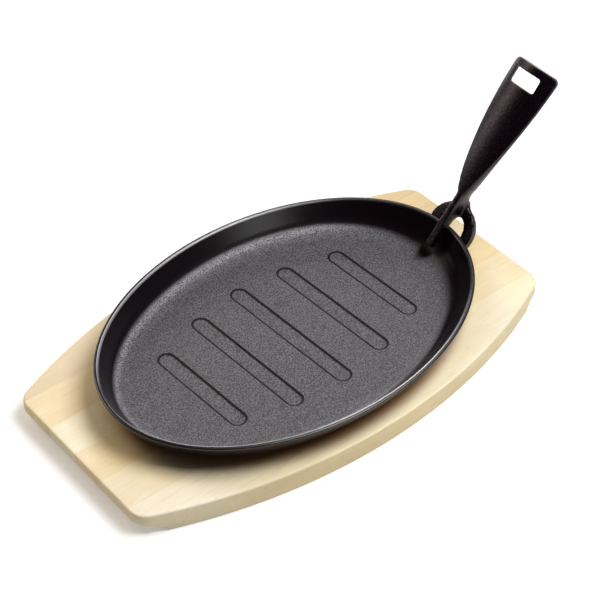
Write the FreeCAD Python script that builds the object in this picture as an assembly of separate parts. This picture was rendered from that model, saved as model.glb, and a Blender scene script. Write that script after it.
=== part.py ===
import FreeCAD, Part
import math
import os

from FreeCAD import Vector, Placement, Rotation

# Sizzle platter: an oval cast-iron plate on a wooden board, with a cast-iron lifting handle
# hooked over the plate's rim.
# Frame: X along the board, Z up, origin at the centre of the board's underside.
# Sizes are in millimetres and degrees.

# Wooden board: two long bowed sides, short straight ends, a finger bevel under each end
BOARD_LENGTH = 334.0
BOARD_MIDDLE_WIDTH = 196.0
BOARD_END_WIDTH = 123.5
BOARD_THICKNESS = 16.0
BOARD_CORNER_RADIUS = 12.0
BOARD_EDGE_RADIUS = 1.5
BEVEL_RUN = 28.0
BEVEL_RISE = 8.5

# Iron plate: an oval dish of even wall, its sides flared, a large blend down to a flat floor
PLATE_LENGTH = 281.0
PLATE_WIDTH = 191.0
PLATE_HEIGHT = 22.5
PLATE_FLOOR = 4.0
RIM_WIDTH = 3.2
WALL_FLARE = 30.0
INNER_BLEND_RADIUS = 18.0
OUTER_BLEND_RADIUS = 20.0
RIM_INNER_RADIUS = 0.8
RIM_OUTER_RADIUS = 0.9

# Where the plate lies on the board: loose, a little off centre and a little turned
PLATE_SHIFT_X = -1.9
PLATE_SHIFT_Y = -1.3
PLATE_TURN = 2.85

# Sunk pads in the plate's floor, one behind the other along the plate, the outer ones shorter
PAD_HALF_LENGTHS = (40.0, 50.7, 55.3, 50.7, 40.0)
PAD_WIDTH = 13.0
PAD_PITCH = 37.2
PAD_DEPTH = 0.8
PAD_DRAFT = 35.0

# Handle's seat: it leans out over the rim, square to it, a little to one side of the plate's axis
HANDLE_LEAN = 53.5
HANDLE_TURN = -4.3
HANDLE_SIDE_SHIFT = -6.8
JAW_CLEARANCE = 0.3

# Handle's tongue, the upper jaw, which reaches down inside the plate
TONGUE_WIDTH = 5.6
TONGUE_REACH = 16.5
TONGUE_DEPTH_AT_RIM = 7.3
TONGUE_DEPTH_AT_TIP = 3.6
TONGUE_TIP_RADIUS = 1.0

# Handle's ring, the lower jaw, which lies under the rim outside the plate
RING_RADIUS = 18.8
RING_BAR_WIDTH = 8.0
RING_THICKNESS = 5.0
RING_OFFSET = 0.5
SHOULDER_RADIUS = 5.0
THROAT_RADIUS = 9.5
HEEL_RADIUS = 9.0

# Handle's grip: an arched bar that swells from the neck to its end, hollow underneath
GRIP_START = 24.1
GRIP_END = 122.5
GRIP_END_WIDTH = 38.0
GRIP_CREST_RISE = 3.0
GRIP_NECK_SLOPE = 1.0
GRIP_END_SLOPE = 20.5
GRIP_EDGE_THICKNESS = 3.4
GRIP_NECK_THICKNESS = 13.0
GRIP_SWELL_POWER = 0.77
GRIP_NECK_POWER = 4.7
GRIP_CORNER_RADIUS = 5.0
GRIP_EDGE_BULGE = 0.8
GRIP_STATIONS = 12

# Hollow under the grip, and the hanging hole through it
HOLLOW_START = 62.0
HOLLOW_SIDE_WALL = 4.5
HOLLOW_END_WALL = 2.2
HOLLOW_ROOF = 5.8
HOLE_START = 106.0
HOLE_LENGTH = 10.8
HOLE_WIDTH = 22.0
HOLE_SIDE_SHIFT = 1.0
HOLE_CORNER_RADIUS = 1.5

# How far a cutting tool runs past the face that it cuts
OVERCUT = 5.0


def slope(angle):
    return math.tan(math.radians(angle))


def prism(wire, direction):
    return Part.Face(wire).extrude(direction)


# Board

def board_outline():
    half_length = BOARD_LENGTH / 2
    end = BOARD_END_WIDTH / 2
    middle = BOARD_MIDDLE_WIDTH / 2
    left_back = Vector(-half_length, end, 0)
    right_back = Vector(half_length, end, 0)
    right_front = Vector(half_length, -end, 0)
    left_front = Vector(-half_length, -end, 0)
    back = Part.Arc(left_back, Vector(0, middle, 0), right_back).toShape()
    right = Part.makeLine(right_back, right_front)
    front = Part.Arc(right_front, Vector(0, -middle, 0), left_front).toShape()
    left = Part.makeLine(left_front, left_back)
    return Part.Wire([back, right, front, left])


def upright_edges(shape, height):
    found = []
    for edge in shape.Edges:
        box = edge.BoundBox
        if box.XLength + box.YLength < 1e-3 and abs(box.ZLength - height) < 1e-3:
            found.append(edge)
    return found


def edges_at_height(shape, height):
    found = []
    for edge in shape.Edges:
        box = edge.BoundBox
        if abs(box.ZMin - height) < 1e-3 and abs(box.ZMax - height) < 1e-3:
            found.append(edge)
    return found


def finger_bevel(side):
    # A wedge under one end of the board, its tip on the underside BEVEL_RUN in from the end
    end = side * BOARD_LENGTH / 2
    tip = end - side * BEVEL_RUN
    past = end + side * OVERCUT
    rise_past = BEVEL_RISE * (1 + OVERCUT / BEVEL_RUN)
    half_width = BOARD_MIDDLE_WIDTH / 2 + OVERCUT
    corners = [
        Vector(tip, -half_width, 0),
        Vector(past, -half_width, 0),
        Vector(past, -half_width, rise_past),
    ]
    outline = Part.makePolygon(corners + corners[:1])
    return prism(outline, Vector(0, 2 * half_width, 0))


def make_board():
    board = prism(board_outline(), Vector(0, 0, BOARD_THICKNESS))
    board = board.makeFillet(BOARD_CORNER_RADIUS, upright_edges(board, BOARD_THICKNESS))
    board = board.cut(finger_bevel(1)).cut(finger_bevel(-1))
    return board.makeFillet(BOARD_EDGE_RADIUS, edges_at_height(board, BOARD_THICKNESS))


# Plate

def oval(inset, height):
    # Ellipse lying INSET inside the rim's outer edge at a height above the plate's underside
    ellipse = Part.Ellipse(Vector(0, 0, height), PLATE_LENGTH / 2 - inset, PLATE_WIDTH / 2 - inset)
    return Part.Wire([ellipse.toShape()])


def flared_bowl(rim_inset, low, blend_radius):
    # Solid with the plate's flared side, from a height LOW up to the rim, its lower edge blended
    low_inset = rim_inset + (PLATE_HEIGHT - low) * slope(WALL_FLARE)
    bowl = Part.makeLoft([oval(low_inset, low), oval(rim_inset, PLATE_HEIGHT)], True, True)
    return bowl.makeFillet(blend_radius, edges_at_height(bowl, low))


def stadium(centre_x, half_length, half_width, height):
    straight = half_length - half_width
    right_back = Vector(centre_x + half_width, straight, height)
    left_back = Vector(centre_x - half_width, straight, height)
    left_front = Vector(centre_x - half_width, -straight, height)
    right_front = Vector(centre_x + half_width, -straight, height)
    back = Part.Arc(right_back, Vector(centre_x, half_length, height), left_back).toShape()
    left = Part.makeLine(left_back, left_front)
    front = Part.Arc(left_front, Vector(centre_x, -half_length, height), right_front).toShape()
    right = Part.makeLine(right_front, right_back)
    return Part.Wire([back, left, front, right])


def sunk_pad(index):
    # Pocket with drafted sides, widest at the floor's surface
    centre_x = (index - (len(PAD_HALF_LENGTHS) - 1) / 2) * PAD_PITCH
    half_length = PAD_HALF_LENGTHS[index]
    half_width = PAD_WIDTH / 2
    draft = PAD_DEPTH * slope(PAD_DRAFT)
    bottom = stadium(centre_x, half_length - draft, half_width - draft, PLATE_FLOOR - PAD_DEPTH)
    surface = stadium(centre_x, half_length, half_width, PLATE_FLOOR)
    # The tool goes on straight up through the surface, so that the cut leaves no skin
    above = prism(surface, Vector(0, 0, PAD_DEPTH))
    return Part.makeLoft([bottom, surface], True, True).fuse(above)


def make_plate():
    outside = flared_bowl(0, 0, OUTER_BLEND_RADIUS)
    inside = flared_bowl(RIM_WIDTH, PLATE_FLOOR, INNER_BLEND_RADIUS)
    plate = outside.cut(inside)
    for index in range(len(PAD_HALF_LENGTHS)):
        plate = plate.cut(sunk_pad(index))
    outer = max(edges_at_height(plate, PLATE_HEIGHT), key=lambda edge: edge.Length)
    plate = plate.makeFillet(RIM_OUTER_RADIUS, [outer])
    inner = min(edges_at_height(plate, PLATE_HEIGHT), key=lambda edge: edge.Length)
    return plate.makeFillet(RIM_INNER_RADIUS, [inner])


# Handle, drawn in its own frame: X up along the handle from the rim's inner edge, Z out of its face

def jaw_level():
    # Depth below the rim's inner edge, square to the handle, that the plate's outside reaches,
    # found where the outer blend runs parallel to the handle
    sine = math.sin(math.radians(HANDLE_LEAN))
    cosine = math.cos(math.radians(HANDLE_LEAN))
    half_corner = (90.0 - WALL_FLARE) / 2
    centre_inset = PLATE_HEIGHT * slope(WALL_FLARE) + OUTER_BLEND_RADIUS * slope(half_corner)
    inward = centre_inset - RIM_WIDTH
    downward = PLATE_HEIGHT - OUTER_BLEND_RADIUS
    return inward * sine - downward * cosine - OUTER_BLEND_RADIUS


def ring_top():
    return jaw_level() - JAW_CLEARANCE


def tongue_face():
    return JAW_CLEARANCE + TONGUE_DEPTH_AT_RIM


def swell(along):
    # 0 at the neck, 1 at the handle's end, fastest near the neck
    share = (along - GRIP_START) / (GRIP_END - GRIP_START)
    return math.sin(math.radians(90.0 * share)) ** GRIP_SWELL_POWER


def grip_half_width(along):
    neck = TONGUE_WIDTH / 2
    return neck + (GRIP_END_WIDTH / 2 - neck) * swell(along)


def grip_crest(along):
    return tongue_face() + GRIP_CREST_RISE * swell(along)


def grip_edge(along):
    # The chord from the crest down to the side edge grows steeper toward the handle's end
    share = (along - GRIP_START) / (GRIP_END - GRIP_START)
    angle = GRIP_NECK_SLOPE + (GRIP_END_SLOPE - GRIP_NECK_SLOPE) * share
    return grip_crest(along) - grip_half_width(along) * slope(angle)


def grip_underside(along):
    share = (along - GRIP_START) / (GRIP_END - GRIP_START)
    extra = (GRIP_NECK_THICKNESS - GRIP_EDGE_THICKNESS) * (1 - share) ** GRIP_NECK_POWER
    return grip_edge(along) - GRIP_EDGE_THICKNESS - extra


def grip_section(along):
    # Arched face, rounded side edges, flat underside
    half_width = grip_half_width(along)
    corner = half_width - GRIP_EDGE_BULGE
    edge = grip_edge(along)
    underside = grip_underside(along)
    middle = (edge + underside) / 2
    low_left = Vector(along, corner, underside)
    high_left = Vector(along, corner, edge)
    high_right = Vector(along, -corner, edge)
    low_right = Vector(along, -corner, underside)
    left = Part.Arc(low_left, Vector(along, half_width, middle), high_left).toShape()
    arch = Part.Arc(high_left, Vector(along, 0, grip_crest(along)), high_right).toShape()
    right = Part.Arc(high_right, Vector(along, -half_width, middle), low_right).toShape()
    bottom = Part.makeLine(low_right, low_left)
    return Part.Wire([left, arch, right, bottom])


def stations(start, end):
    step = (end - start) / (GRIP_STATIONS - 1)
    return [start + step * index for index in range(GRIP_STATIONS)]


def grip_body():
    sections = [grip_section(along) for along in stations(GRIP_START, GRIP_END)]
    return Part.makeLoft(sections, True, False)


def grip_hollow():
    # Channel with a flat roof, open underneath
    sections = []
    for along in stations(HOLLOW_START, GRIP_END - HOLLOW_END_WALL):
        half_width = grip_half_width(along) - HOLLOW_SIDE_WALL
        roof = grip_crest(along) - HOLLOW_ROOF
        low = grip_underside(along) - OVERCUT
        corners = [
            Vector(along, half_width, low),
            Vector(along, half_width, roof),
            Vector(along, -half_width, roof),
            Vector(along, -half_width, low),
        ]
        sections.append(Part.makePolygon(corners + corners[:1]))
    return Part.makeLoft(sections, True, False)


def hanging_hole():
    low = grip_underside(GRIP_END) - OVERCUT
    high = grip_crest(GRIP_END) + OVERCUT
    corner = Vector(HOLE_START, HOLE_SIDE_SHIFT - HOLE_WIDTH / 2, low)
    tool = Part.makeBox(HOLE_LENGTH, HOLE_WIDTH, high - low, corner)
    return tool.makeFillet(HOLE_CORNER_RADIUS, upright_edges(tool, high - low))


def rounded_end():
    # What the two rounded corners of the handle's end leave of a block around it
    low = grip_underside(GRIP_START) - OVERCUT
    height = grip_crest(GRIP_END) + OVERCUT - low
    start = GRIP_START - OVERCUT
    half_width = grip_half_width(GRIP_END)
    block = Part.makeBox(GRIP_END - start, 2 * half_width, height, Vector(start, -half_width, low))
    corners = []
    for edge in upright_edges(block, height):
        if edge.BoundBox.XMax > GRIP_END - 1e-3:
            corners.append(edge)
    return block.makeFillet(GRIP_CORNER_RADIUS, corners)


def ring():
    top = ring_top()
    centre = Vector(-RING_OFFSET, 0, top - RING_THICKNESS)
    outside = Part.makeCylinder(RING_RADIUS, RING_THICKNESS, centre)
    inside = Part.makeCylinder(RING_RADIUS - RING_BAR_WIDTH, RING_THICKNESS, centre)
    return outside.cut(inside)


def shoulder_end():
    # Where the rounding between the ring and the rib runs out along the rib
    across = TONGUE_WIDTH / 2 + SHOULDER_RADIUS
    return math.sqrt((RING_RADIUS + SHOULDER_RADIUS) ** 2 - across ** 2) - RING_OFFSET


def shoulder():
    # The ring's root: flush with the rib where it starts, rounded out into the ring on both sides
    level = ring_top() - RING_THICKNESS
    side = TONGUE_WIDTH / 2
    across = side + SHOULDER_RADIUS
    end = shoulder_end()
    reach = RING_RADIUS / (RING_RADIUS + SHOULDER_RADIUS)
    on_ring = Vector((end + RING_OFFSET) * reach - RING_OFFSET, across * reach, level)
    centre = Vector(end, across, level)
    toward = (on_ring - centre).normalize() + Vector(0, -1, 0)
    middle = centre + toward.normalize() * SHOULDER_RADIUS
    top = Vector(end, side, level)
    mirrored = [Vector(point.x, -point.y, point.z) for point in (top, middle, on_ring)]
    edges = [
        Part.Arc(on_ring, middle, top).toShape(),
        Part.makeLine(top, mirrored[0]),
        Part.Arc(mirrored[0], mirrored[1], mirrored[2]).toShape(),
        Part.makeLine(mirrored[2], on_ring),
    ]
    return prism(Part.Wire(edges), Vector(0, 0, RING_THICKNESS))


def web():
    # Upright rib, as thick as the tongue: the tongue, the throat above the ring and the heel
    # that carries the ring's root up into the grip
    face = tongue_face()
    low = ring_top() - RING_THICKNESS
    throat_x = RING_RADIUS - RING_BAR_WIDTH - RING_OFFSET
    heel_x = shoulder_end()
    heel_end = heel_x + HEEL_RADIUS
    heel_level = low + HEEL_RADIUS
    top_end = Vector(heel_end + OVERCUT, 0, grip_edge(heel_end))
    diagonal = math.sqrt(0.5)
    throat_centre = Vector(throat_x - THROAT_RADIUS, 0, JAW_CLEARANCE - THROAT_RADIUS)
    throat_middle = throat_centre + Vector(diagonal, 0, diagonal) * THROAT_RADIUS
    heel_centre = Vector(heel_end, 0, low)
    heel_middle = heel_centre + Vector(-diagonal, 0, diagonal) * HEEL_RADIUS
    tip_face = Vector(-TONGUE_REACH, 0, face)
    tip_under = Vector(-TONGUE_REACH, 0, face - TONGUE_DEPTH_AT_TIP)
    under_rim = Vector(throat_centre.x, 0, JAW_CLEARANCE)
    throat_low = Vector(throat_x, 0, throat_centre.z)
    ring_inside = Vector(throat_x, 0, low)
    ring_outside = Vector(heel_x, 0, low)
    heel_top = Vector(heel_end, 0, heel_level)
    under_grip = Vector(top_end.x, 0, heel_level)
    face_end = Vector(heel_end, 0, face)
    edges = [
        Part.makeLine(tip_face, tip_under),
        Part.makeLine(tip_under, under_rim),
        Part.Arc(under_rim, throat_middle, throat_low).toShape(),
        Part.makeLine(throat_low, ring_inside),
        Part.makeLine(ring_inside, ring_outside),
        Part.Arc(ring_outside, heel_middle, heel_top).toShape(),
        Part.makeLine(heel_top, under_grip),
        Part.makeLine(under_grip, top_end),
        Part.makeLine(top_end, face_end),
        Part.makeLine(face_end, tip_face),
    ]
    rib = prism(Part.Wire(edges), Vector(0, TONGUE_WIDTH, 0))
    rib.translate(Vector(0, -TONGUE_WIDTH / 2, 0))
    tip = [edge for edge in rib.Edges if edge.BoundBox.XMax < 1e-3 - TONGUE_REACH]
    across = [edge for edge in tip if edge.BoundBox.YLength > TONGUE_WIDTH / 2]
    return rib.makeFillet(TONGUE_TIP_RADIUS, across)


def make_handle():
    grip = grip_body().common(rounded_end())
    grip = grip.cut(grip_hollow()).cut(hanging_hole())
    return grip.fuse([web(), ring(), shoulder()]).removeSplitter()


# Placing: the plate stands on the board, and the handle hooks over the plate's rim

def plate_place():
    seat = Vector(PLATE_SHIFT_X, PLATE_SHIFT_Y, BOARD_THICKNESS)
    return Placement(seat, Rotation(Vector(0, 0, 1), PLATE_TURN))


def handle_place():
    # The handle's frame starts on the rim's inner edge, beside the end of the plate's long axis
    half_length = PLATE_LENGTH / 2 - RIM_WIDTH
    half_width = PLATE_WIDTH / 2 - RIM_WIDTH
    along = half_length * math.sqrt(1 - (HANDLE_SIDE_SHIFT / half_width) ** 2)
    seat = Vector(along, HANDLE_SIDE_SHIFT, PLATE_HEIGHT)
    turn = Rotation(Vector(0, 0, 1), HANDLE_TURN)
    lean = Rotation(Vector(0, 1, 0), -HANDLE_LEAN)
    return plate_place().multiply(Placement(seat, turn.multiply(lean)))


def write_step(name, shape, place):
    placed = shape.copy()
    placed.Placement = place
    assert placed.isValid() and len(placed.Solids) == 1, name
    placed.Solids[0].exportStep(os.path.join("parts", name + ".step"))


os.makedirs("parts", exist_ok=True)
write_step("wooden_board", make_board(), Placement())
write_step("iron_plate", make_plate(), plate_place())
write_step("gripper_handle", make_handle(), handle_place())
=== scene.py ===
import math

import bmesh
import bpy
from mathutils import Matrix, Vector


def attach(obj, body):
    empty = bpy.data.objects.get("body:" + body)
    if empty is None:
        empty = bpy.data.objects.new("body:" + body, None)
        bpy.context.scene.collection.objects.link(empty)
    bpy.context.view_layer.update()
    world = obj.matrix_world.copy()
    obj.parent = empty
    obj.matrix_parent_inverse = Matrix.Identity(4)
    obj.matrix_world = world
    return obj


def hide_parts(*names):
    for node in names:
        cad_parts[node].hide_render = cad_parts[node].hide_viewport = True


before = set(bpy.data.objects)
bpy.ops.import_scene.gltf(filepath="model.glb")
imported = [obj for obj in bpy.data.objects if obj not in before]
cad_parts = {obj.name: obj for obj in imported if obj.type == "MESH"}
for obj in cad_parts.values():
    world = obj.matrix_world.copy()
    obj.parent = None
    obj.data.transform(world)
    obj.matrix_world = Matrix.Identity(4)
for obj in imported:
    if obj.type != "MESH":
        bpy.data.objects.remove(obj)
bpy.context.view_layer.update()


# Camera
# The photograph's view: from the front left, looking down at about 43 degrees, slightly rolled.
# The image is taken to be 600 x 600.
IMAGE_WIDTH = 600
FOCAL_PIXELS = 1676.94
SENSOR_WIDTH = 36.0
CAMERA_PLACE = Vector((-0.51128, -0.58815, 0.77048))
CAMERA_AZIMUTH = math.radians(-41.391)
CAMERA_ELEVATION = math.radians(42.844)
CAMERA_ROLL = math.radians(1.977)
CAMERA_REACH = 100.0

camera = bpy.data.objects.new("camera", bpy.data.cameras.new("camera"))
bpy.context.scene.collection.objects.link(camera)
around = Matrix.Rotation(CAMERA_AZIMUTH, 4, "Z")
tilt = Matrix.Rotation(math.pi / 2 - CAMERA_ELEVATION, 4, "X")
roll = Matrix.Rotation(CAMERA_ROLL, 4, "Z")
camera.matrix_world = Matrix.Translation(CAMERA_PLACE) @ around @ tilt @ roll
camera.data.sensor_width = SENSOR_WIDTH
camera.data.lens = FOCAL_PIXELS * SENSOR_WIDTH / IMAGE_WIDTH
camera.data.clip_end = CAMERA_REACH
bpy.context.scene.camera = camera
bpy.context.scene.view_settings.view_transform = "Standard"


# Studio
# A plain white table under a soft box high on the front right and a warm one on the back left.
# Weak boxes, cards and a sweep low round the table give the black iron its reflections. The table
# shows white to the camera and to gloss, and keeps the shadow.
FLOOR_SIZE = 40.0
FLOOR_GAP = 0.0001
FLOOR_COLOUR = "#E9E9E9"
FLOOR_GLOW = 0.26
ROOM_LIGHT = 0.02
WARM = (1.0, 0.86, 0.66)
WHITE = (1.0, 1.0, 1.0)
LAMP_DISTANCE = 1.6
# Each lamp's azimuth from +X and elevation in degrees, length and width in metres, watts, colour
LAMPS = {
    "front_right_box": (-41, 63, 0.90, 0.90, 27.5, WHITE),
    "back_right_box": (40.7, 48.9, 0.26, 0.36, 1.6, WHITE),
    "back_sweep": (50, 15, 2.4, 0.6, 2.2, WHITE),
    "back_left_box": (112, 42, 0.7, 0.7, 8.5, WARM),
    "back_left_card": (118, 16, 0.6, 0.4, 2.1, WHITE),
    "front_card": (-78, 17, 0.45, 0.45, 1.5, WHITE),
    "back_strip": (53, 19, 0.42, 0.45, 5.2, WHITE),
}


def linear(hex_colour):
    channels = [int(hex_colour[place:place + 2], 16) / 255 for place in (1, 3, 5)]
    return [c / 12.92 if c <= 0.04045 else ((c + 0.055) / 1.055) ** 2.4 for c in channels] + [1.0]


def add_node(owner, kind, inputs=None, stops=(), **settings):
    # Adds a node to a material or world with its settings, inputs' values or links, and ramp stops
    tree = owner.node_tree
    node = tree.nodes.new(kind)
    for name, value in settings.items():
        setattr(node, name, value)
    for name, value in (inputs or {}).items():
        if isinstance(value, bpy.types.NodeSocket):
            tree.links.new(value, node.inputs[name])
        else:
            node.inputs[name].default_value = value
    if stops:
        elements = node.color_ramp.elements
        elements.remove(elements[1])
        elements[0].position = stops[0][0]
        elements[0].color = linear(stops[0][1])
        for position, colour in stops[1:]:
            elements.new(position).color = linear(colour)
    return node


def new_material(name):
    material = bpy.data.materials.new(name)
    material.use_nodes = True
    material.node_tree.nodes.clear()
    return material


def select_only(piece):
    bpy.ops.object.select_all(action="DESELECT")
    piece.select_set(True)
    bpy.context.view_layer.objects.active = piece


bpy.ops.object.select_all(action="DESELECT")
bpy.ops.mesh.primitive_plane_add(size=FLOOR_SIZE, location=(0, 0, -FLOOR_GAP))
table = bpy.context.object
table.name = "studio_table"

table_white = new_material("studio table white")
rays = add_node(table_white, "ShaderNodeLightPath")
direct = add_node(table_white, "ShaderNodeMath", {
    0: rays.outputs["Is Camera Ray"], 1: rays.outputs["Is Glossy Ray"]}, operation="MAXIMUM")
seen = add_node(table_white, "ShaderNodeMath", {
    0: direct.outputs[0], 1: rays.outputs["Is Transmission Ray"]}, operation="MAXIMUM")
glow = add_node(table_white, "ShaderNodeMath", {0: seen.outputs[0], 1: FLOOR_GLOW}, operation="MULTIPLY")
surface = add_node(table_white, "ShaderNodeBsdfPrincipled", {
    "Base Color": linear(FLOOR_COLOUR), "Roughness": 1.0, "Specular IOR Level": 0.0,
    "Emission Color": (1, 1, 1, 1), "Emission Strength": glow.outputs[0]})
add_node(table_white, "ShaderNodeOutputMaterial", {"Surface": surface.outputs[0]})
table.data.materials.append(table_white)

for name, (azimuth, elevation, length, width, power, colour) in LAMPS.items():
    turn = math.radians(azimuth)
    rise = math.radians(elevation)
    toward = Vector((math.cos(rise) * math.cos(turn), math.cos(rise) * math.sin(turn), math.sin(rise)))
    lamp = bpy.data.objects.new(name, bpy.data.lights.new(name, "AREA"))
    bpy.context.scene.collection.objects.link(lamp)
    lamp.location = toward * LAMP_DISTANCE
    lamp.rotation_euler = (math.pi / 2 - rise, 0, turn + math.pi / 2)
    lamp.data.shape = "RECTANGLE"
    lamp.data.size = length
    lamp.data.size_y = width
    lamp.data.energy = power
    lamp.data.color = colour

world = bpy.data.worlds.new("dim room")
bpy.context.scene.world = world
world.use_nodes = True
world.node_tree.nodes.clear()
rays = add_node(world, "ShaderNodeLightPath")
strength = add_node(world, "ShaderNodeMapRange", {
    "Value": rays.outputs["Is Camera Ray"], "To Min": ROOM_LIGHT})
room = add_node(world, "ShaderNodeBackground", {"Color": (1, 1, 1, 1), "Strength": strength.outputs[0]})
add_node(world, "ShaderNodeOutputWorld", {"Surface": room.outputs[0]})


# Wooden board
# Pale rubberwood staves glued into one board and planed 16 mm thick, its two long sides sawn to a
# bow and the corners rounded. A finger bevel is cut under each end, and the edges are sanded.
MM = 0.001
BOARD_LENGTH = 334.0 * MM
BOARD_MIDDLE_WIDTH = 196.0 * MM
BOARD_END_WIDTH = 123.5 * MM
BOARD_THICKNESS = 16.0 * MM
BOARD_CORNER_RADIUS = 12.0 * MM
BOARD_TOP_ROUNDING = 1.5 * MM
BOARD_EASING = 0.5 * MM
BEVEL_RUN = 28.0 * MM
BEVEL_RISE = 8.5 * MM
BOW_STEPS = 120
CORNER_STEPS = 14
ROUNDING_STEPS = 5
EASING_STEPS = 2
SEED_SIZE = 10.0 * MM
SHARP_ANGLE = math.radians(40)
BOARD_SMOOTH_ANGLE = math.radians(35)
# Points nearer than this are one, and edges this near to a height lie on it
TOUCHING = 0.001 * MM


def shade(piece, angle):
    select_only(piece)
    bpy.ops.object.shade_smooth_by_angle(angle=angle)


def pick(piece, kind, wanted):
    # Selects those vertices, edges or faces of a mesh in edit mode that a test accepts
    sheet = bmesh.from_edit_mesh(piece.data)
    for part in [*sheet.verts, *sheet.edges, *sheet.faces]:
        part.select_set(False)
    for part in getattr(sheet, kind):
        if wanted(part):
            part.select_set(True)
    sheet.select_flush_mode()
    bmesh.update_edit_mesh(piece.data)


def on_level(edge, height):
    return all(abs(vert.co.z - height) < TOUCHING for vert in edge.verts)


half_board = BOARD_LENGTH / 2
sagitta = (BOARD_MIDDLE_WIDTH - BOARD_END_WIDTH) / 2
bow_radius = (half_board ** 2 + sagitta ** 2) / (2 * sagitta)
bow_centre = BOARD_MIDDLE_WIDTH / 2 - bow_radius
corner_x = half_board - BOARD_CORNER_RADIUS
corner_reach = bow_radius - BOARD_CORNER_RADIUS
corner_y = bow_centre + math.sqrt(corner_reach ** 2 - corner_x ** 2)
bow_angle = math.asin(corner_x / corner_reach)

# One corner point is spun round the right corner, along the back bow and round the left corner
bpy.ops.object.select_all(action="DESELECT")
bpy.ops.mesh.primitive_plane_add(size=SEED_SIZE, location=(half_board, corner_y, 0))
board = bpy.context.object
board.name = "wooden_board_body"
bpy.ops.object.transform_apply(location=True)
bpy.ops.object.mode_set(mode="EDIT")
bpy.context.tool_settings.mesh_select_mode = (True, False, False)
bpy.ops.mesh.select_all(action="SELECT")
bpy.ops.mesh.merge(type="CENTER")
for centre, angle, steps in (
    ((corner_x, corner_y, 0), math.pi / 2 - bow_angle, CORNER_STEPS),
    ((0, bow_centre, 0), 2 * bow_angle, BOW_STEPS),
    ((-corner_x, corner_y, 0), math.pi / 2 - bow_angle, CORNER_STEPS),
):
    bpy.ops.mesh.spin(steps=steps, angle=angle, center=centre, axis=(0, 0, -1))
bpy.ops.mesh.select_all(action="SELECT")
bpy.ops.mesh.duplicate()
bpy.ops.transform.rotate(value=math.pi, orient_axis="Z", center_override=(0, 0, 0))
bpy.ops.mesh.select_all(action="SELECT")
bpy.ops.mesh.edge_face_add()
bpy.ops.mesh.extrude_region_move(TRANSFORM_OT_translate={"value": (0, 0, BOARD_THICKNESS)})
bpy.ops.mesh.select_all(action="SELECT")
bpy.ops.mesh.normals_make_consistent(inside=False)
for side in (1, -1):
    bpy.ops.mesh.select_all(action="SELECT")
    bpy.ops.mesh.bisect(
        plane_co=(side * (half_board - BEVEL_RUN), 0, 0),
        plane_no=(side * BEVEL_RISE, 0, -BEVEL_RUN), use_fill=True, clear_outer=True)
bpy.ops.mesh.select_all(action="SELECT")
bpy.ops.mesh.remove_doubles(threshold=TOUCHING)


def is_sharp(edge):
    return len(edge.link_faces) == 2 and edge.calc_face_angle() >= SHARP_ANGLE


pick(board, "edges", lambda edge: is_sharp(edge) and on_level(edge, BOARD_THICKNESS))
bpy.ops.mesh.bevel(offset=BOARD_TOP_ROUNDING, segments=ROUNDING_STEPS, affect="EDGES")
pick(board, "edges", lambda edge: is_sharp(edge)
     and edge.verts[0].co.z < BOARD_THICKNESS - 2 * BOARD_TOP_ROUNDING)
bpy.ops.mesh.bevel(offset=BOARD_EASING, segments=EASING_STEPS, affect="EDGES")
bpy.ops.object.mode_set(mode="OBJECT")
shade(board, BOARD_SMOOTH_ANGLE)

# Rubberwood under a clear matt oil, planed and sanded: each stave has its own cream or tan, with
# soft clouds and faint pores that run along the board. The real pores are about 0.2 mm wide, too
# fine to show here, so they are drawn at 1.1 mm. Each stave is given by its front edge, in
# millimetres from the board's middle, and its colour.
STAVES = ((-98, "#F9F1DA"), (-81, "#F9F2E0"), (-53, "#F6EBD3"), (-26, "#F1E0BE"),
          (2, "#F4EBD3"), (29, "#EFDFBE"), (57, "#E2D2B6"))
CLOUD_SIZE = 26.0 * MM
CLOUD_STRETCH = 2.5
PORE_WIDTH = 1.1 * MM
PORE_STRETCH = 18.0
PORE_DEPTH = 0.1 * MM
# Painted shade: the wood is painted darker and yellower along this way, from this distance to the end
BACK_RIGHT_SHADE_WAY = (1, 0.5, 0)
BACK_RIGHT_SHADE_FROM = 20.0 * MM
SAWN_FROM = BOARD_THICKNESS - 0.4 * MM
# Where the plate stands, and the oval round it where its shadow is painted on the wood, dark brown at
# the foot and faint further out: it fades from the first share of these half sizes to the second
PLATE_SEAT = Vector((-1.9 * MM, -1.3 * MM, BOARD_THICKNESS))
PLATE_TURN = math.radians(2.85)
PLATE_SHADOW_HALF_SIZE = (139.0 * MM, 94.0 * MM, 1)
PLATE_SHADOW_FROM = 0.85
PLATE_SHADOW_TO = 1.2

wood = new_material("oiled pale rubberwood")
place = add_node(wood, "ShaderNodeTexCoord")
axes = add_node(wood, "ShaderNodeSeparateXYZ", {0: place.outputs["Object"]})
across = add_node(wood, "ShaderNodeMapRange", {
    "Value": axes.outputs["Y"], "From Min": -BOARD_MIDDLE_WIDTH / 2, "From Max": BOARD_MIDDLE_WIDTH / 2})
stave_stops = [(0.5 + edge * MM / BOARD_MIDDLE_WIDTH, colour) for edge, colour in STAVES]
staves = add_node(wood, "ShaderNodeValToRGB", {"Fac": across.outputs[0]}, stave_stops)
staves.color_ramp.interpolation = "CONSTANT"
clouds_place = add_node(wood, "ShaderNodeMapping", {
    "Vector": place.outputs["Object"], "Scale": (1 / CLOUD_STRETCH, 1, 1)})
clouds = add_node(wood, "ShaderNodeTexNoise", {
    "Vector": clouds_place.outputs[0], "Scale": 1 / CLOUD_SIZE, "Detail": 3.0, "Roughness": 0.55})
cloud_shade = add_node(wood, "ShaderNodeValToRGB", {"Fac": clouds.outputs["Fac"]},
                       [(0.32, "#F4EFE6"), (0.66, "#FFFFFF")])
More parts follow.
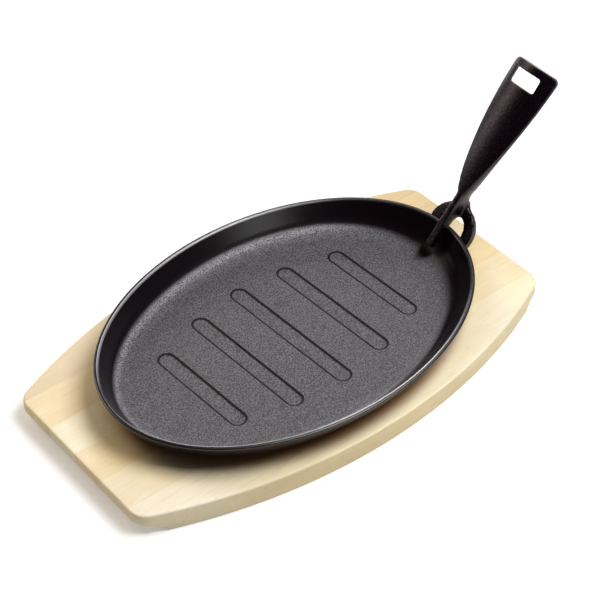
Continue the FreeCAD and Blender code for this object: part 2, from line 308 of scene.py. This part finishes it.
# A colour Mix takes its share on input 0 and its colours on 6 and 7, and gives output 2
ground = add_node(wood, "ShaderNodeMix", {0: 1.0, 6: staves.outputs[0], 7: cloud_shade.outputs[0]},
                  data_type="RGBA", blend_type="MULTIPLY")
pores_place = add_node(wood, "ShaderNodeMapping", {
    "Vector": place.outputs["Object"], "Scale": (1 / PORE_STRETCH, 1, 1)})
pores = add_node(wood, "ShaderNodeTexNoise", {
    "Vector": pores_place.outputs[0], "Scale": 1 / PORE_WIDTH, "Detail": 4.0, "Roughness": 0.6})
pore_shade = add_node(wood, "ShaderNodeValToRGB", {"Fac": pores.outputs["Fac"]},
                      [(0.28, "#F6F0E6"), (0.48, "#FFFFFF")])
grained = add_node(wood, "ShaderNodeMix", {0: 1.0, 6: ground.outputs[2], 7: pore_shade.outputs[0]},
                   data_type="RGBA", blend_type="MULTIPLY")
# Painted shade: toward the back right the wood is painted darker and yellower, where less light
# falls, and the sawn sides are painted a darker, warmer tone
slant = add_node(wood, "ShaderNodeVectorMath", {0: place.outputs["Object"], 1: BACK_RIGHT_SHADE_WAY},
                 operation="DOT_PRODUCT")
back_right_shading = add_node(wood, "ShaderNodeMapRange", {
    "Value": slant.outputs["Value"], "From Min": BACK_RIGHT_SHADE_FROM, "From Max": half_board})
back_right_shade_tint = add_node(wood, "ShaderNodeMix", {0: back_right_shading.outputs[0], 6: (1, 1, 1, 1), 7: linear("#EFE7D2")},
                  data_type="RGBA")
back_right_shaded = add_node(wood, "ShaderNodeMix", {0: 1.0, 6: grained.outputs[2], 7: back_right_shade_tint.outputs[2]},
                    data_type="RGBA", blend_type="MULTIPLY")
sawn = add_node(wood, "ShaderNodeMapRange", {
    "Value": axes.outputs["Z"], "From Min": SAWN_FROM, "From Max": BOARD_THICKNESS - BOARD_TOP_ROUNDING})
finished = add_node(wood, "ShaderNodeMix", {
    0: sawn.outputs[0], 6: back_right_shaded.outputs[2], 7: linear("#F2EBD9")},
    data_type="RGBA", blend_type="MULTIPLY")
# Painted shadow: close round the plate's foot the wood is painted dark brown, and faintly darker further
# out
plate_shadow_place = add_node(wood, "ShaderNodeMapping", {
    "Vector": place.outputs["Object"], "Location": PLATE_SEAT, "Rotation": (0, 0, PLATE_TURN),
    "Scale": PLATE_SHADOW_HALF_SIZE}, vector_type="TEXTURE")
plate_shadow_out = add_node(wood, "ShaderNodeVectorMath", {0: plate_shadow_place.outputs[0]}, operation="LENGTH")
plate_shadow = add_node(wood, "ShaderNodeMapRange", {
    "Value": plate_shadow_out.outputs["Value"], "From Min": PLATE_SHADOW_FROM, "From Max": PLATE_SHADOW_TO})
plate_shadow_tone = add_node(wood, "ShaderNodeValToRGB", {"Fac": plate_shadow.outputs[0]},
                   [(0.09, "#A57B54"), (0.5, "#FAF4E5"), (0.95, "#FFFFFF")])
plate_shadow_tone.color_ramp.interpolation = "EASE"
used = add_node(wood, "ShaderNodeMix", {0: 1.0, 6: finished.outputs[2], 7: plate_shadow_tone.outputs[0]},
                data_type="RGBA", blend_type="MULTIPLY")
fibre = add_node(wood, "ShaderNodeBump", {
    "Height": pores.outputs["Fac"], "Strength": 0.2, "Distance": PORE_DEPTH})
surface = add_node(wood, "ShaderNodeBsdfPrincipled", {
    "Base Color": used.outputs[2], "Roughness": 0.55, "IOR": 1.5, "Normal": fibre.outputs[0]})
add_node(wood, "ShaderNodeOutputMaterial", {"Surface": surface.outputs[0]})
board.data.materials.append(wood)
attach(board, "root")
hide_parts("wooden_board")


# Iron plate
# One sand casting in grey iron, oiled and baked black: an oval dish with flared sides, a flat
# floor with five sunk pads, and a rim that was ground flat and is worn bright.
PLATE_LENGTH = 281.0 * MM
PLATE_WIDTH = 191.0 * MM
PLATE_HEIGHT = 22.5 * MM
PLATE_FLOOR = 4.0 * MM
RIM_WIDTH = 3.4 * MM
WALL_FLARE = math.radians(30)
INNER_BLEND_RADIUS = 18.0 * MM
OUTER_BLEND_RADIUS = 20.0 * MM
RIM_EASING_RADIUS = 3.5 * MM
RIM_EASING_ANGLE = math.radians(20)
RIM_INNER_RADIUS = 0.8 * MM
RIM_OUTER_RADIUS = 1.0 * MM
PLATE_STEPS = 288
PLATE_SMOOTH_ANGLE = math.radians(60)
PAD_HALF_LENGTHS = [half * MM for half in (40.0, 50.7, 55.3, 50.7, 40.0)]
PAD_WIDTH = 13.0 * MM
PAD_PITCH = 37.2 * MM
PAD_DEPTH = 0.8 * MM
PAD_STEPS = 64
PAD_WALL_RUN = 2.2 * MM
PAD_WALL_STEPS = 8
PAD_WALL_POWER = 1.6
FLOOR_MARGIN = 1.5 * MM


def arc(centre_inset, centre_height, radius, start, end, steps):
    # Points (inset from the rim's outer edge, height) along an arc of the plate's section
    points = []
    for step in range(steps + 1):
        angle = start + (end - start) * step / steps
        points.append((centre_inset - radius * math.cos(angle), centre_height + radius * math.sin(angle)))
    return points


# The section runs from the foot up the outer wall, over the rim and down the inner wall to the
# floor. The rim's outer edge is one small arc. Its inner edge is a wide, shallow one that wear has
# made, which ends in a small one down to the wall.
UP = math.pi / 2
slope = math.tan(WALL_FLARE)
blend_share = math.tan((UP - WALL_FLARE) / 2)
outer_centre = PLATE_HEIGHT * slope + OUTER_BLEND_RADIUS * blend_share
inner_centre = RIM_WIDTH + (PLATE_HEIGHT - PLATE_FLOOR) * slope + INNER_BLEND_RADIUS * blend_share
lip_outer = RIM_OUTER_RADIUS * math.tan((UP + WALL_FLARE) / 2)
worn_run = RIM_EASING_RADIUS * math.sin(RIM_EASING_ANGLE)
worn_drop = RIM_EASING_RADIUS * (1 - math.cos(RIM_EASING_ANGLE))
turn_run = RIM_INNER_RADIUS * (math.cos(WALL_FLARE) - math.sin(RIM_EASING_ANGLE))
turn_drop = RIM_INNER_RADIUS * (math.cos(RIM_EASING_ANGLE) - math.sin(WALL_FLARE))
lip_inner = RIM_WIDTH + (worn_drop + turn_drop) * slope - worn_run - turn_run
inner_blend_centre = PLATE_FLOOR + INNER_BLEND_RADIUS
worn_centre = PLATE_HEIGHT - RIM_EASING_RADIUS
turn_back = RIM_EASING_RADIUS - RIM_INNER_RADIUS
turn_inset = lip_inner + turn_back * math.sin(RIM_EASING_ANGLE)
turn_height = worn_centre + turn_back * math.cos(RIM_EASING_ANGLE)
worn_end = UP + RIM_EASING_ANGLE
section = arc(outer_centre, OUTER_BLEND_RADIUS, OUTER_BLEND_RADIUS, -UP, -WALL_FLARE, steps=14)
section += arc(lip_outer, PLATE_HEIGHT - RIM_OUTER_RADIUS, RIM_OUTER_RADIUS, -WALL_FLARE, UP, steps=8)
section += arc(lip_inner, worn_centre, RIM_EASING_RADIUS, UP, worn_end, steps=8)
section += arc(turn_inset, turn_height, RIM_INNER_RADIUS, worn_end, 2 * UP - WALL_FLARE, steps=6)[1:]
section += arc(inner_centre, inner_blend_centre, INNER_BLEND_RADIUS, -WALL_FLARE, -UP, steps=16)
section.append((inner_centre + FLOOR_MARGIN, PLATE_FLOOR))

bpy.ops.object.select_all(action="DESELECT")
bpy.ops.mesh.primitive_circle_add(vertices=PLATE_STEPS, radius=1.0, fill_type="NGON")
plate = bpy.context.object
plate.name = "iron_plate_casting"
bpy.ops.object.mode_set(mode="EDIT")
half_length = PLATE_LENGTH / 2
half_width = PLATE_WIDTH / 2
inset, height = section[0]
bpy.ops.mesh.select_all(action="SELECT")
bpy.ops.transform.resize(value=(half_length - inset, half_width - inset, 1), center_override=(0, 0, 0))
for next_inset, next_height in section[1:]:
    bpy.ops.mesh.extrude_region_move(TRANSFORM_OT_translate={"value": (0, 0, next_height - height)})
    growth = [(half - next_inset) / (half - inset) for half in (half_length, half_width)]
    bpy.ops.transform.resize(value=(*growth, 1), center_override=(0, 0, 0))
    inset, height = next_inset, next_height
bpy.ops.mesh.select_all(action="SELECT")
bpy.ops.mesh.normals_make_consistent(inside=False)

# The floor is cut open round five stadium outlines, and each pad is inset down in small steps
middle_pad = len(PAD_HALF_LENGTHS) // 2
pads = [((index - middle_pad) * PAD_PITCH, half) for index, half in enumerate(PAD_HALF_LENGTHS)]
pad_reach = PAD_WIDTH / 2 + TOUCHING
bpy.context.tool_settings.mesh_select_mode = (False, False, True)
pick(plate, "faces", lambda face: len(face.verts) > 4 and face.verts[0].co.z > PLATE_FLOOR - TOUCHING)
bpy.ops.mesh.delete(type="ONLY_FACE")
bpy.context.tool_settings.mesh_select_mode = (True, False, False)
for centre, half in pads:
    bpy.ops.mesh.primitive_circle_add(
        vertices=PAD_STEPS, radius=PAD_WIDTH / 2, location=(centre, 0, PLATE_FLOOR))
    for side in (1, -1):
        pick(plate, "verts", lambda vert: TOUCHING < side * vert.co.y < pad_reach
             and abs(vert.co.x - centre) < pad_reach and abs(vert.co.z - PLATE_FLOOR) < TOUCHING)
        bpy.ops.transform.translate(value=(0, side * (half - PAD_WIDTH / 2), 0))
bpy.context.tool_settings.mesh_select_mode = (False, True, False)
pick(plate, "edges", lambda edge: on_level(edge, PLATE_FLOOR) and len(edge.link_faces) < 2)
bpy.ops.mesh.fill(use_beauty=True)
for centre, _ in pads:
    pick(plate, "edges", lambda edge: on_level(edge, PLATE_FLOOR) and len(edge.link_faces) < 2
         and abs(edge.verts[0].co.x - centre) < pad_reach)
    bpy.ops.mesh.edge_face_add()
bpy.ops.mesh.select_all(action="SELECT")
bpy.ops.mesh.normals_make_consistent(inside=False)
bpy.context.tool_settings.mesh_select_mode = (False, False, True)
pick(plate, "faces", lambda face: len(face.verts) == PAD_STEPS)
sunk = 0.0
for step in range(1, PAD_WALL_STEPS + 1):
    depth = PAD_DEPTH * (step / PAD_WALL_STEPS) ** PAD_WALL_POWER
    bpy.ops.mesh.inset(thickness=PAD_WALL_RUN / PAD_WALL_STEPS, depth=sunk - depth, use_boundary=True)
    sunk = depth
bpy.ops.object.mode_set(mode="OBJECT")
plate.data.transform(Matrix.Translation(PLATE_SEAT) @ Matrix.Rotation(PLATE_TURN, 4, "Z"))
shade(plate, PLATE_SMOOTH_ANGLE)
bpy.ops.object.modifier_add(type="WEIGHTED_NORMAL")
bpy.ops.object.modifier_apply(modifier=plate.modifiers[-1].name)

# Seasoned sand-cast iron: the floor and the foot of the sides are dull grey with the sand's grain,
# the sides above are smooth and baked black, and the rim is ground and worn to bare metal. Foundry
# sand is about 0.3 mm, too fine to show here, so its grain is drawn at 0.9 mm.
FLOOR_TOP = BOARD_THICKNESS + PLATE_FLOOR
RIM_TOP = BOARD_THICKNESS + PLATE_HEIGHT
GRAIN_SIZE = 0.9 * MM
GRAIN_DEPTH = 0.4 * MM
MOTTLE_SIZE = 7.0 * MM
# The black finish starts at this height with a blurred, ragged edge. The edge sinks by the drop as
# one goes toward the front right, from the first distance to the second; that lower black is painted shade.
FINISH_LEVEL = FLOOR_TOP + 4.0 * MM
FINISH_BLUR = 2.0 * MM
FINISH_RAGGED = 2.4 * MM
SHADE_DROP = 2.7 * MM
DROP_WAY = (1, -0.6, 0)
DROP_FROM = 40.0 * MM
DROP_TO = 115.0 * MM
# Painted shadow of the handle's tongue on the floor: where it lies, how far it reaches and how deep
TONGUE_SHADOW_PLACE = (120.5 * MM, 1.8 * MM, FLOOR_TOP)
TONGUE_SHADOW_REACH = (14.0 * MM, 7.5 * MM, 40.0 * MM)
TONGUE_SHADOW_DEPTH = 3.6 * MM
# Painted sheen: the band between these heights at the foot of the sides is painted lighter
SHEEN_BAND_FROM = FLOOR_TOP + 1.3 * MM
SHEEN_BAND_TO = FLOOR_TOP + 3.4 * MM
SMUDGE_PLACE = Vector((12.6 * MM, 24.1 * MM, FLOOR_TOP))
SMUDGE_RADIUS = 7.0 * MM
CROWN_FROM = RIM_TOP - 1.2 * MM
CROWN_TO = RIM_TOP - 0.8 * MM
WEAR_WAY = (1, 0.35, 0)
WORN_METAL = 0.35

iron = new_material("seasoned sand-cast iron")
place = add_node(iron, "ShaderNodeTexCoord")
axes = add_node(iron, "ShaderNodeSeparateXYZ", {0: place.outputs["Object"]})
grit = add_node(iron, "ShaderNodeTexNoise", {
    "Vector": place.outputs["Object"], "Scale": 1 / GRAIN_SIZE, "Detail": 3.0, "Roughness": 0.75})
mottle = add_node(iron, "ShaderNodeTexNoise", {
    "Vector": place.outputs["Object"], "Scale": 1 / MOTTLE_SIZE, "Detail": 4.0, "Roughness": 0.6})
# Painted shade: toward the front right the black is brought down to the floor
diagonal = add_node(iron, "ShaderNodeVectorMath", {0: place.outputs["Object"], 1: DROP_WAY},
                    operation="DOT_PRODUCT")
rightward = add_node(iron, "ShaderNodeMapRange", {
    "Value": diagonal.outputs["Value"], "From Min": DROP_FROM, "From Max": DROP_TO})
lifted = add_node(iron, "ShaderNodeMath", {0: rightward.outputs[0], 1: SHADE_DROP, 2: axes.outputs["Z"]},
                  operation="MULTIPLY_ADD")
# Painted shadow of the handle's tongue: the black is also brought down over the floor under it
tongue_shadow_place = add_node(iron, "ShaderNodeMapping", {
    "Vector": place.outputs["Object"], "Location": TONGUE_SHADOW_PLACE, "Scale": TONGUE_SHADOW_REACH},
    vector_type="TEXTURE")
tongue_shadow_away = add_node(iron, "ShaderNodeVectorMath", {0: tongue_shadow_place.outputs[0]}, operation="LENGTH")
tongue_shadow = add_node(iron, "ShaderNodeMapRange", {
    "Value": tongue_shadow_away.outputs["Value"], "To Min": TONGUE_SHADOW_DEPTH, "To Max": 0.0},
    interpolation_type="SMOOTHSTEP")
with_tongue_shadow = add_node(iron, "ShaderNodeMath", {0: tongue_shadow.outputs[0], 1: lifted.outputs[0]}, operation="ADD")
ragged = add_node(iron, "ShaderNodeMath", {0: grit.outputs["Fac"], 1: FINISH_RAGGED, 2: with_tongue_shadow.outputs[0]},
                  operation="MULTIPLY_ADD")
brushed = add_node(iron, "ShaderNodeMapRange", {
    "Value": ragged.outputs[0], "From Min": FINISH_LEVEL + FINISH_RAGGED / 2 - FINISH_BLUR,
    "From Max": FINISH_LEVEL + FINISH_RAGGED / 2 + FINISH_BLUR}, interpolation_type="SMOOTHSTEP")
facing = add_node(iron, "ShaderNodeSeparateXYZ", {0: place.outputs["Normal"]})
outside = add_node(iron, "ShaderNodeMapRange", {
    "Value": facing.outputs["Z"], "From Min": 0.05, "From Max": -0.05})
black = add_node(iron, "ShaderNodeMath", {0: brushed.outputs[0], 1: outside.outputs[0]},
                 operation="MAXIMUM")
dull = add_node(iron, "ShaderNodeValToRGB", {"Fac": grit.outputs["Fac"]},
                [(0.435, "#131217"), (0.57, "#625F67")])
# Painted sheen: the foot of the sides is painted lighter, least toward the front right, where it
# reflects the lamps. Painted shade: the steps round the pads are painted near black.
sheen_strength = add_node(iron, "ShaderNodeMapRange", {"Value": rightward.outputs[0], "To Min": 3.5, "To Max": 1.7})
sheen_band = add_node(iron, "ShaderNodeMapRange", {
    "Value": axes.outputs["Z"], "From Min": SHEEN_BAND_FROM, "From Max": SHEEN_BAND_TO,
    "To Min": 1.0, "To Max": sheen_strength.outputs[0]})
lighter = add_node(iron, "ShaderNodeVectorMath", {0: dull.outputs[0], "Scale": sheen_band.outputs[0]},
                   operation="SCALE")
patches = add_node(iron, "ShaderNodeMapRange", {
    "Value": mottle.outputs["Fac"], "From Min": 0.3, "From Max": 0.7, "To Min": 0.86, "To Max": 1.14})
smudge_away = add_node(iron, "ShaderNodeVectorMath", {0: place.outputs["Object"], 1: SMUDGE_PLACE},
                       operation="DISTANCE")
smudge = add_node(iron, "ShaderNodeMapRange", {
    "Value": smudge_away.outputs["Value"], "From Min": 0.2 * SMUDGE_RADIUS, "From Max": SMUDGE_RADIUS,
    "To Min": 0.72}, interpolation_type="SMOOTHSTEP")
dirt = add_node(iron, "ShaderNodeMath", {0: smudge.outputs[0], 1: patches.outputs[0]},
                operation="MULTIPLY")
dirtied = add_node(iron, "ShaderNodeVectorMath", {0: lighter.outputs[0], "Scale": dirt.outputs[0]},
                   operation="SCALE")
# Painted shade: the sunk steps round the pads are painted near black
step_place = add_node(iron, "ShaderNodeMapRange", {
    "Value": axes.outputs["Z"], "From Min": FLOOR_TOP - PAD_DEPTH, "From Max": FLOOR_TOP})
pad_step_shade = add_node(iron, "ShaderNodeValToRGB", {"Fac": step_place.outputs[0]},
                [(0.3, "#FFFFFF"), (0.45, "#070707"), (0.985, "#070707"), (1.0, "#FFFFFF")])
step_shaded = add_node(iron, "ShaderNodeMix", {0: 1.0, 6: dirtied.outputs[0], 7: pad_step_shade.outputs[0]},
                  data_type="RGBA", blend_type="MULTIPLY")
tone = add_node(iron, "ShaderNodeMix", {
    0: black.outputs[0], 6: step_shaded.outputs[2], 7: linear("#10080D")}, data_type="RGBA")
# The rim and the outside keep their gloss. The burnt inner wall and the painted shade in the pad
# steps reflect less, which their lower IOR gives, and the wall least of all toward the front right.
crown = add_node(iron, "ShaderNodeMapRange", {
    "Value": axes.outputs["Z"], "From Min": CROWN_FROM, "From Max": CROWN_TO})
glossy = add_node(iron, "ShaderNodeMath", {0: crown.outputs[0], 1: outside.outputs[0]},
                  operation="MAXIMUM")
burnt = add_node(iron, "ShaderNodeMath", {0: brushed.outputs[0], 1: glossy.outputs[0]},
                 operation="SUBTRACT")
wall_index = add_node(iron, "ShaderNodeMapRange", {
    "Value": rightward.outputs[0], "To Min": 1.48, "To Max": 1.12})
step_shade_index = add_node(iron, "ShaderNodeMapRange", {
    "Value": pad_step_shade.outputs[0], "To Min": 1.3, "To Max": 1.55})
surface_index = add_node(iron, "ShaderNodeMapRange", {
    "Value": burnt.outputs[0], "To Min": step_shade_index.outputs[0], "To Max": wall_index.outputs[0]})
# The rim's inner edge is worn to bare metal by the handle and by stacking: where the rim leans from
# level, inside the oval down its middle. Toward both ends the bare metal fades out, which is painted
# shade for the handle's shadow at the right end and the weaker reflection of the lamps at the left.
oval = add_node(iron, "ShaderNodeMapping", {
    "Vector": place.outputs["Object"], "Location": (PLATE_SEAT.x, PLATE_SEAT.y, 0),
    "Rotation": (0, 0, PLATE_TURN), "Scale": (half_length - RIM_WIDTH / 2, half_width - RIM_WIDTH / 2, 1)},
    vector_type="TEXTURE")
flat_oval = add_node(iron, "ShaderNodeVectorMath", {0: oval.outputs[0], 1: (1, 1, 0)},
                     operation="MULTIPLY")
out = add_node(iron, "ShaderNodeVectorMath", {0: flat_oval.outputs[0]}, operation="LENGTH")
inward = add_node(iron, "ShaderNodeMapRange", {
    "Value": out.outputs["Value"], "From Min": 1.003, "From Max": 0.998})
lean = add_node(iron, "ShaderNodeMapRange", {
    "Value": facing.outputs["Z"], "From Min": 0.998, "From Max": 0.985})
edge_worn = add_node(iron, "ShaderNodeMath", {0: lean.outputs[0], 1: inward.outputs[0]},
                     operation="MULTIPLY")
crown_worn = add_node(iron, "ShaderNodeMath", {0: edge_worn.outputs[0], 1: crown.outputs[0]},
                      operation="MULTIPLY")
along = add_node(iron, "ShaderNodeSeparateXYZ", {0: oval.outputs[0]})
aslant = add_node(iron, "ShaderNodeVectorMath", {0: oval.outputs[0], 1: WEAR_WAY},
                  operation="DOT_PRODUCT")
# Painted shade: the bare metal fades out toward the left end and toward the right end
left_end_shade = add_node(iron, "ShaderNodeMapRange", {
    "Value": aslant.outputs["Value"], "From Min": -0.87, "From Max": -0.62, "To Min": 0.12})
right_end_shade = add_node(iron, "ShaderNodeMapRange", {
    "Value": along.outputs["X"], "From Min": 0.75, "From Max": 0.25, "To Min": 0.05})
share = add_node(iron, "ShaderNodeMath", {0: left_end_shade.outputs[0], 1: right_end_shade.outputs[0]},
                 operation="MULTIPLY")
worn = add_node(iron, "ShaderNodeMath", {0: crown_worn.outputs[0], 1: share.outputs[0]},
                operation="MULTIPLY")
bare = add_node(iron, "ShaderNodeMix", {0: worn.outputs[0], 6: tone.outputs[2], 7: linear("#9A979A")},
                data_type="RGBA")
metal = add_node(iron, "ShaderNodeMath", {0: worn.outputs[0], 1: WORN_METAL}, operation="MULTIPLY")
gloss = add_node(iron, "ShaderNodeMapRange", {"Value": black.outputs[0], "To Min": 0.5, "To Max": 0.26})
relief = add_node(iron, "ShaderNodeMapRange", {"Value": black.outputs[0], "To Min": 0.8, "To Max": 0.08})
grain = add_node(iron, "ShaderNodeBump", {
    "Height": grit.outputs["Fac"], "Strength": relief.outputs[0], "Distance": GRAIN_DEPTH})
surface = add_node(iron, "ShaderNodeBsdfPrincipled", {
    "Base Color": bare.outputs[2], "Metallic": metal.outputs[0], "Roughness": gloss.outputs[0],
    "IOR": surface_index.outputs[0], "Normal": grain.outputs[0]})
add_node(iron, "ShaderNodeOutputMaterial", {"Surface": surface.outputs[0]})
plate.data.materials.append(iron)
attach(plate, "root")
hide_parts("iron_plate")


# Lifting handle
# One small iron casting that hooks over the rim: a tongue inside the plate, a ring under the rim
# and an arched grip with a hanging hole. Its edges are the soft ones of a sand casting.
HANDLE_WELD = 0.01 * MM
HANDLE_VOXEL = 0.45 * MM
HANDLE_SMOOTHING = 6
SMOOTHING_SHARE = 0.5
NECK_PLACE = Vector((150.5, -1.5, 54.0)) * MM
# Radius from the neck in millimetres and smoothing passes inside it, from wide to narrow
NECK_SMOOTHING = ((22, 12), (17, 25), (12, 60))

handle = bpy.data.objects.new("lifting_handle_casting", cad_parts["gripper_handle"].data.copy())
bpy.context.scene.collection.objects.link(handle)
handle.data.materials.clear()
select_only(handle)
bpy.ops.object.mode_set(mode="EDIT")
bpy.ops.mesh.select_all(action="SELECT")
bpy.ops.mesh.remove_doubles(threshold=HANDLE_WELD)
bpy.ops.object.mode_set(mode="OBJECT")
bpy.ops.object.modifier_add(type="REMESH")
handle.modifiers[-1].mode = "VOXEL"
handle.modifiers[-1].voxel_size = HANDLE_VOXEL
bpy.ops.object.modifier_apply(modifier=handle.modifiers[-1].name)
bpy.ops.object.modifier_add(type="SMOOTH")
handle.modifiers[-1].factor = SMOOTHING_SHARE
handle.modifiers[-1].iterations = HANDLE_SMOOTHING
bpy.ops.object.modifier_apply(modifier=handle.modifiers[-1].name)

# The neck flows from the grip into the ring and the tongue
bpy.ops.object.mode_set(mode="EDIT")
bpy.context.tool_settings.mesh_select_mode = (True, False, False)
for radius, passes in NECK_SMOOTHING:
    pick(handle, "verts", lambda vert: (vert.co - NECK_PLACE).length < radius * MM)
    bpy.ops.mesh.vertices_smooth(factor=SMOOTHING_SHARE, repeat=passes)
bpy.ops.object.mode_set(mode="OBJECT")
bpy.ops.object.shade_smooth()

# The same iron, oiled thicker and rubbed by the hand: blacker and with more gloss than the plate.
# Its sand's grain is drawn at 1.15 mm, as coarse as it has to be to show.
HANDLE_GRAIN = 1.15 * MM
HANDLE_GRAIN_DEPTH = 0.3 * MM

handle_iron = new_material("oiled sand-cast iron")
place = add_node(handle_iron, "ShaderNodeTexCoord")
grit = add_node(handle_iron, "ShaderNodeTexNoise", {
    "Vector": place.outputs["Object"], "Scale": 1 / HANDLE_GRAIN, "Detail": 3.0, "Roughness": 0.7})
polish = add_node(handle_iron, "ShaderNodeMapRange", {
    "Value": grit.outputs["Fac"], "From Min": 0.38, "From Max": 0.62, "To Min": 0.17, "To Max": 0.32})
grain = add_node(handle_iron, "ShaderNodeBump", {
    "Height": grit.outputs["Fac"], "Strength": 0.6, "Distance": HANDLE_GRAIN_DEPTH})
surface = add_node(handle_iron, "ShaderNodeBsdfPrincipled", {
    "Base Color": linear("#0A0409"), "Roughness": polish.outputs[0], "IOR": 1.46,
    "Specular Tint": linear("#FFE6F6"), "Normal": grain.outputs[0]})
add_node(handle_iron, "ShaderNodeOutputMaterial", {"Surface": surface.outputs[0]})
handle.data.materials.append(handle_iron)
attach(handle, "root")
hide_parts("gripper_handle")
